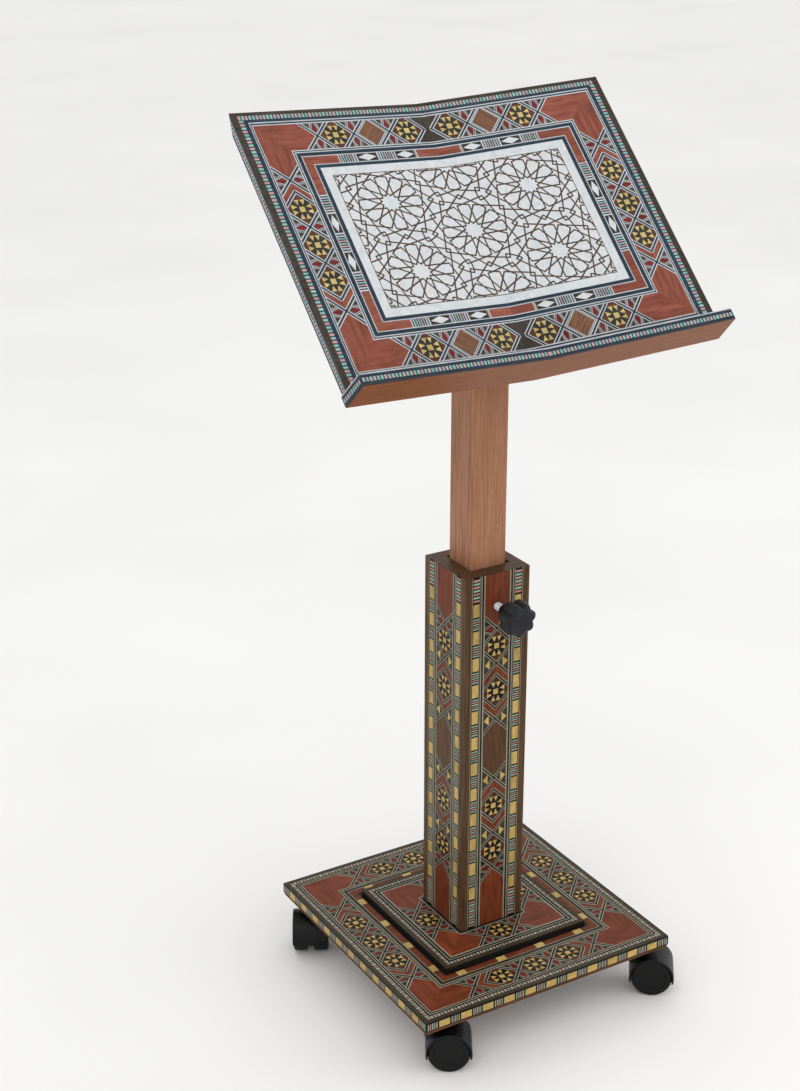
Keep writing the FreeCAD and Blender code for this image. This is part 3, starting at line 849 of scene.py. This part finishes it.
def ring_pegs(pen, half, low, high, colours):
    """A row of pegs along each side of a square, between two insets from its edge."""
    for quarter in range(4):
        row = pen.at(0, 0, 90 * quarter)
        length = 2 * (half - low)
        peg_row(row.at(low - half, (low + high) / 2 - half), length, high - low - 0.6, colours, 4.6, 3.2)


def draw_base_top(pen):
    half = BASE_SIDE / 2
    # The last black ring, next to the plinth, is a black line that is also painted shade: it stands for the shade
    # in the gap at the plinth's foot.
    steps = [(0, "walnut_margin"), (6, "black"), (13, "white"), (14.2, "black"), (16.2, "white"),
             (BASE_BAND, "ground"), (BASE_BAND + 2 * HALF_BAND, "white"), (52.8, "black"),
             (54.6, "white"), (56, "grey"), (58.2, "black"), (60.2, "white"), (61.2, "red"),
             (69.6, "black")]
    frames(pen, half, half, [(inset, inset, wood) for inset, wood in steps])
    ring_pegs(pen, half, 6, 11, PEGS)
    reach = half - BASE_BAND
    for quarter in range(4):
        row = pen.at(0, 0, 90 * quarter)
        band = row.at(0, BASE_BAND + HALF_BAND - half)
        side_band(band.within(mitred(reach)), "", 47.8, 71.7, 86.5, reach)
        blocks = row.at(0, 65.4 - half)
        for x in (-85, -28, 28, 85):
            blocks.rect("black", x - 7.4, -4.2, x + 7.4, 4.2)
            blocks.rect("yellow", x - 6.2, -4.2, x + 6.2, 4.2)


def draw_plinth_top(pen):
    half = PLINTH_SIDE / 2
    steps = [(0, "walnut_margin"), (5.5, "black"), (12.5, "white"), (13.7, "black"),
             (16.6, "white"), (PLINTH_BAND, "red"), (PLINTH_BAND + 2 * HALF_BAND, "white"),
             (53.9, "black")]
    frames(pen, half, half, [(inset, inset, wood) for inset, wood in steps])
    ring_pegs(pen, half, 5.6, 10, PEGS)
    reach = half - PLINTH_BAND
    cross = 23.6
    for quarter in range(4):
        row = pen.at(0, 0, 90 * quarter)
        band = row.at(0, PLINTH_BAND + HALF_BAND - half).within(mitred(reach))
        band.rect("red", -reach, -HALF_BAND, reach, HALF_BAND)
        cell(band, -cross, cross, "ground")
        rosette(band, "")
        segments = []
        for lean in (-1, 1):
            crossing_fill(band.at(lean * cross, 0), "", "red")
            segments += x_arms(lean * cross)
        arms(band, segments, "black", "white")


def draw_base_edge(pen, length, height):
    """X along the edge from its middle and Y up from the strip's lower side."""
    half = length / 2
    pen.rect("black", -half, 0, half, height)
    pen.rect("ground", -half, 0, half, 1.6)
    blocks = 11
    pitch = 30.0
    middle = height / 2 - 0.2
    row = pen.at(0, middle)
    for i in range(blocks):
        x = (i - (blocks - 1) / 2) * pitch
        pen.rect("yellow", x - 7.3, middle - 4.3, x + 7.3, middle + 4.3)
        if i + 1 < blocks:
            stripes(row, x + 8.3, x + pitch - 8.3, 4.3, STAND_STRIPES)
    reach = (blocks - 1) / 2 * pitch + 8.3
    stripes(row, reach, half - 1, 4.3, STAND_STRIPES)
    stripes(row, 1 - half, -reach, 4.3, STAND_STRIPES)


# ---- panels in place

def stand_in(piece, *nodes):
    """The piece takes over from CAD nodes: their body and their place."""
    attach(piece, BODY_OF[nodes[0]])
    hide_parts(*nodes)
    return piece


def reach_of(node, direction):
    """Lowest and highest distance of a CAD node along a direction."""
    distances = [v.co.dot(direction) for v in frame["nodes"][node].data.vertices]
    return min(distances), max(distances)


def make_stand_panels():
    x_axis, y_axis, z_axis = Vector((1, 0, 0)), Vector((0, 1, 0)), Vector((0, 0, 1))
    down = -z_axis * VENEER * MM

    for half, hole, draw, step in (
            (BASE_SIDE / 2 - VENEER, PLINTH_SIDE / 2, draw_base_top, "base_top"),
            (PLINTH_SIDE / 2, COLUMN_SIDE / 2, draw_plinth_top, "plinth")):
        top = Panel(oblong(-half, -half, half, half), "walnut_margin",
                    oblong(-hole, -hole, hole, hole))
        draw(top.pen)
        node = step + "_inlay"
        centre = z_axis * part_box(node)[1].z
        stand_in(top.build(step + "_marquetry", centre, x_axis, y_axis, down), node)

    for quarter, side in enumerate(("front", "right", "back", "left")):
        turn = Matrix.Rotation(math.radians(90 * quarter), 3, "Z")
        out = turn @ -y_axis
        across = turn @ x_axis

        node = "base_edge_" + side
        low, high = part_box(node)
        height = (high.z - low.z) / MM
        half = BASE_SIDE / 2
        inside = half - VENEER
        edge = Panel(oblong(-half, 0, half, height), "black", under=oblong(-inside, 0, inside, height))
        draw_base_edge(edge.pen, BASE_SIDE, height)
        corner = out * half * MM + z_axis * low.z
        stand_in(edge.build(node + "_marquetry", corner, across, z_axis, -out * VENEER * MM), node)

        node = "column_inlay_" + side
        low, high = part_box(node)
        height = (high.z - low.z) / MM
        half = PANEL_WIDTH / 2
        panel = Panel(oblong(0, -half, height, half), "black")
        draw_column_panel(panel.pen, height)
        corner = out * COLUMN_SIDE / 2 * MM + z_axis * high.z
        stand_in(panel.build(node + "_marquetry", corner, -z_axis, across, -out * VENEER * MM), node)


def make_desk_panels():
    normals = {side: Vector(MOUNTS["reading_face_" + side]["axis"]) for side in ("left", "right")}
    up = normals["right"].cross(normals["left"]).normalized()
    if up.z < 0:
        up = -up
    for side, sign in (("right", 1), ("left", -1)):
        normal = normals[side].normalized()
        across = up.cross(normal) * sign
        inlay = "leaf_inlay_" + side
        height = reach_of(inlay, normal)[1]
        front, back = reach_of(inlay, up)
        plane = normal * height
        # The fold is where the leaf's surface meets the stand's middle plane.
        to_fold = -plane.x / across.x
        origin = plane + across * to_fold + up * (front + back) / 2
        half_y = (back - front) / 2 / MM
        inner_width = LEAF_WIDTH - LEAF_EDGE_STRIP

        back_in = LEAF_BACK_UNDERCUT / LEAF_THICK * VENEER
        under = oblong(0, -half_y, inner_width, half_y - back_in)
        leaf = Panel(oblong(0, -half_y, inner_width, half_y), "desk_walnut", under=under)
        draw_leaf(leaf.pen)
        down = -normal * VENEER * MM
        stand_in(leaf.build("leaf_marquetry_" + side, origin, across, up, down), inlay)

        make_leaf_edge(side, origin, across, up, normal, half_y)
        make_ledge_cap(side, origin, across, up, normal)


def make_leaf_edge(side, origin, across, up, normal, half_y):
    """The outer side of a leaf: dark, with one line of small pegs."""
    outline = [(-half_y, 0), (half_y - LEAF_BACK_UNDERCUT, 0), (half_y, LEAF_THICK),
               (-half_y, LEAF_THICK)]
    edge = Panel(outline, "desk_walnut")
    pen = edge.pen
    pen.rect("desk_black", -half_y, 1.6, half_y, LEAF_THICK - 1.2)
    pen.rect("desk_white", -half_y, 2.4, half_y, 3.2)
    pen.rect("desk_white", -half_y, LEAF_THICK - 2.8, half_y, LEAF_THICK - 2.0)
    peg_row(pen.at(-half_y, LEAF_THICK / 2 + 0.2), 2 * half_y - 8, 3.2, DESK_PEGS)
    foot = origin + (across * LEAF_WIDTH - normal * LEAF_THICK) * MM
    down = -across * LEAF_EDGE_STRIP * MM
    stand_in(edge.build("leaf_edge_marquetry_" + side, foot, up, normal, down), "leaf_edge_" + side)


def make_ledge_cap(side, origin, across, up, normal):
    """The inlaid top of the ledge, and its inlaid outer end."""
    node = "ledge_inlay_" + side
    front, back = [d / MM for d in reach_of(node, up)]
    low, high = [d / MM for d in reach_of(node, normal)]
    plane = origin.dot(normal) / MM
    middle = origin.dot(up) / MM
    depth = back - front
    rise = high - plane
    fold = rise * math.tan(math.asin(abs(normal.x)))
    corner = origin + (normal * rise + up * (front - middle)) * MM

    cap = Panel(oblong(fold, 0, LEAF_WIDTH, depth), "desk_black")
    draw_ledge_line(cap.pen, LEAF_WIDTH, depth)
    down = -normal * VENEER * MM
    stand_in(cap.build("ledge_top_marquetry_" + side, corner, across, up, down), node)

    height = high - low - VENEER
    end = Panel(oblong(0, 0, height, depth), "desk_black")
    draw_ledge_line(end.pen, height, depth)
    top = corner + (across * LEAF_WIDTH - normal * VENEER) * MM
    down = -across * VENEER * MM
    stand_in(end.build("ledge_end_marquetry_" + side, top, -normal, up, down), node)


def draw_ledge_line(pen, length, depth):
    """A line of pegs along X, with a pale line at the back edge that is a painted highlight."""
    # Painted highlight: a white strip along the back edge, where that edge catches the light.
    pen.rect("desk_white", 0, depth - 1.3, length, depth)
    pen.rect("desk_walnut", 0, 0, length, 1.4)
    peg_row(pen.at(1, depth / 2 - 0.3), length - 2, 4.6, DESK_PEGS)


# ---- turned and moulded parts

def lofted(name, rings, material, smooth=True):
    """A closed form through rings that all have the same number of points."""
    count = len(rings[0])
    points = [p for ring in rings for p in ring]
    faces = []
    for level in range(len(rings) - 1):
        low, high = level * count, (level + 1) * count
        for i in range(count):
            j = (i + 1) % count
            faces.append([low + i, low + j, high + j, high + i])
    faces.append(list(range(count))[::-1])
    faces.append(list(range(len(points) - count, len(points))))
    mesh = bpy.data.meshes.new(name)
    mesh.from_pydata(points, [], faces)
    mesh.materials.append(material)
    mesh.polygons.foreach_set("use_smooth", [smooth] * len(mesh.polygons))
    mesh.update()
    return placed(name, mesh)


def axis_ring(origin, axis, side, height, radii):
    """Points round an axis, one for each radius in millimetres."""
    other = axis.cross(side)
    ring = []
    for i, radius in enumerate(radii):
        angle = 2 * math.pi * i / len(radii)
        ring.append(origin + (axis * height + (side * math.cos(angle)
                                               + other * math.sin(angle)) * radius) * MM)
    return ring


KNOB_POINTS = 168
KNOB_LOBES = 7
# Height from the hub's end, radius between lobes, and how far the lobes stand out, in millimetres
KNOB_PROFILE = [
    (0.0, 7.4, 0), (0.3, 8.2, 0), (1.2, 8.7, 0), (8.0, 9.3, 0), (13.6, 9.9, 0), (14.6, 10.6, 0),
    (15.0, 12.0, 0.6), (15.1, 13.6, 1.8), (15.5, 14.9, 3.0), (16.4, 15.9, 3.9), (17.9, 16.4, 4.4),
    (20.0, 16.5, 4.5), (26.0, 16.5, 4.5), (32.0, 16.5, 4.5), (34.0, 16.4, 4.4), (35.6, 15.9, 3.9),
    (36.5, 15.0, 3.1), (36.9, 13.6, 2.0), (37.0, 12.0, 0.9), (37.0, 8.0, 0), (37.0, 2.0, 0),
]


def star_knob(name, node, origin, axis, side):
    rings = []
    for height, radius, stand_out in KNOB_PROFILE:
        radii = []
        for i in range(KNOB_POINTS):
            wave = 0.5 + 0.5 * math.cos(2 * math.pi * KNOB_LOBES * i / KNOB_POINTS)
            radii.append(radius + stand_out * wave ** 0.62)
        rings.append(axis_ring(origin, axis, side, height, radii))
    knob = lofted(name, rings, finish("black_knob"))
    return stand_in(knob, node)


def threaded_stud(name, node, origin, axis, side, plain, length, radius, pitch):
    """A rod whose first stretch is plain and whose rest carries a cut thread."""
    points = 36
    rings = [axis_ring(origin, axis, side, 0, [radius - 0.7] * points),
             axis_ring(origin, axis, side, 0.7, [radius - 0.02] * points),
             axis_ring(origin, axis, side, plain, [radius - 0.02] * points)]
    steps = int((length - plain - 0.6) / pitch * 8)
    for step in range(steps):
        height = plain + 0.3 + step * pitch / 8
        radii = []
        for i in range(points):
            turn = (height / pitch - i / points) % 1
            radii.append(radius - 0.02 - 0.75 * abs(2 * turn - 1) ** 1.3)
        rings.append(axis_ring(origin, axis, side, height, radii))
    rings.append(axis_ring(origin, axis, side, length, [radius - 0.8] * points))
    return stand_in(lofted(name, rings, finish("steel"), False), node)


# ---- finishes of the CAD nodes

# Dark and light colour, length and width of the figure in millimetres, turn of the grain in
# degrees, roughness and coat
SOLID_WOODS = {
    "column_walnut": ((50, 36, 24), (104, 76, 50), 60, 3.0, (0, 90, 0), 0.42, 0.02),
    "leaf_walnut": ((66, 44, 30), (104, 74, 50), 60, 3.0, (-DESK_TILT, 0, 0), 0.42, 0.03),
    "post_wood": ((138, 92, 66), (180, 132, 102), 90, 3.4, (0, 90, 0), 0.42, 0.02),
    "ledge_wood": ((112, 64, 38), (148, 92, 58), 70, 3.0, (-DESK_TILT, 0, 0), 0.38, 0.05),
    "plywood": ((70, 46, 30), (112, 80, 54), 50, 1.0, (0, 0, 0), 0.55, 0),
    "black_lacquer": ((18, 17, 17), (38, 35, 33), 50, 2.0, (0, 0, 0), 0.35, 0.05),
}
# Colour, roughness, and how many marks there are to the metre along each axis
METALS = {
    "steel": ((196, 198, 202), 0.26, (1500, 1500, 900)),
    "brass": ((206, 166, 92), 0.3, (900, 1500, 900)),
}
# Dark and light colour, roughness, and grains of the skin to the metre
PLASTICS = {
    "black_knob": ((17, 18, 21), (34, 36, 40), 0.36, 900),
    "black_caster": ((3, 3, 4), (9, 9, 10), 0.42, 700),
    "black_wheel": ((4, 4, 4), (11, 11, 11), 0.55, 1200),
}


def finish(name):
    """The finish of a CAD slot, made once."""
    if name not in finishes:
        for table, make in ((SOLID_WOODS, solid_wood), (METALS, metal), (PLASTICS, plastic)):
            if name in table:
                finishes[name] = make(name, *table[name])
    return finishes[name]


def dress(node, name):
    mesh = frame["nodes"][node].data
    mesh.materials.clear()
    mesh.materials.append(finish(name))


def dress_cad_nodes():
    other_name = {"beech": "post_wood", "red_wood": "ledge_wood", "marquetry": "column_walnut",
                  "desk_marquetry": "leaf_walnut"}
    for node, slot_name in SLOT_OF.items():
        if slot_name == "walnut":
            dress(node, "column_walnut" if node.startswith("column") else "leaf_walnut")
        elif node.startswith("wheel"):
            dress(node, "black_wheel")
        else:
            dress(node, other_name.get(slot_name, slot_name))


def make_knobs():
    low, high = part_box("clamp_knob")
    height = (low.z + high.z) / 2
    hub_end = Vector((0, high.y, height))
    star_knob("clamp_star_knob", "clamp_knob", hub_end, Vector((0, -1, 0)), Vector((0, 0, -1)))
    low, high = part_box("clamp_stud")
    inner_end = Vector((0, high.y, height))
    length = (high.y - low.y) / MM
    threaded_stud("clamp_thread", "clamp_stud", inner_end, Vector((0, -1, 0)), Vector((0, 0, 1)),
                  3.0, length, 5.0, 1.5)
    low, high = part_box("tilt_knob")
    pivot = Vector(JOINTS["desk_tilt"]["pos_m"])
    hub_end = Vector((low.x, pivot.y, pivot.z))
    star_knob("tilt_star_knob", "tilt_knob", hub_end, Vector((1, 0, 0)), Vector((0, 0, 1)))


# ---- floor, light and camera

def make_floor():
    bpy.ops.mesh.primitive_plane_add(size=40, location=(0, 0, 0))
    floor = bpy.context.object
    floor.name = "floor"
    material, nodes, links = new_material("floor")
    drift = noise(nodes, links, own_place(nodes), 1.4, 2.0)
    pale = [(0.3, srgb(238, 238, 237)), (0.7, srgb(244, 244, 243))]
    links.new(ramp(nodes, links, drift, pale), nodes["Principled BSDF"].inputs["Base Color"])
    nodes["Principled BSDF"].inputs["Roughness"].default_value = 0.8
    floor.data.materials.append(material)


def area_light(name, place, target, size, power, colour):
    light = bpy.data.lights.new(name, "AREA")
    light.shape = "RECTANGLE"
    light.size, light.size_y = size
    light.energy = power
    light.color = colour
    obj = placed(name, light)
    obj.location = place
    aim = Vector(target) - Vector(place)
    obj.rotation_euler = aim.to_track_quat("-Z", "Y").to_euler()


def make_lights():
    world = bpy.data.worlds.new("studio")
    world.use_nodes = True
    background = world.node_tree.nodes["Background"]
    set_inputs(background, {"Color": (1.0, 0.995, 0.985, 1), "Strength": 0.95})
    bpy.context.scene.world = world
    area_light("key", (-1.8, -1.6, 2.8), (0, 0, 0.6), (1.6, 1.6), 10, (1.0, 0.98, 0.95))
    area_light("sky", (0.2, 1.2, 3.0), (0, 0, 0.8), (2.4, 2.0), 6, (0.90, 0.95, 1.0))
    area_light("fill", (2.4, -1.6, 1.4), (0, 0, 0.5), (1.6, 1.8), 16, (1.0, 0.98, 0.96))


def make_camera():
    camera = bpy.data.cameras.new("camera")
    camera.sensor_fit = "HORIZONTAL"
    camera.sensor_width = 36
    camera.lens = 88.23
    obj = placed("camera", camera)
    obj.location = (-1.1629, -1.7620, 1.4373)
    obj.rotation_euler = (math.radians(67.7), 0, math.radians(-30.98))
    bpy.context.scene.camera = obj


bpy.context.scene.view_settings.view_transform = "Standard"
dress_cad_nodes()
make_stand_panels()
make_desk_panels()
make_knobs()
make_floor()
make_lights()
make_camera()
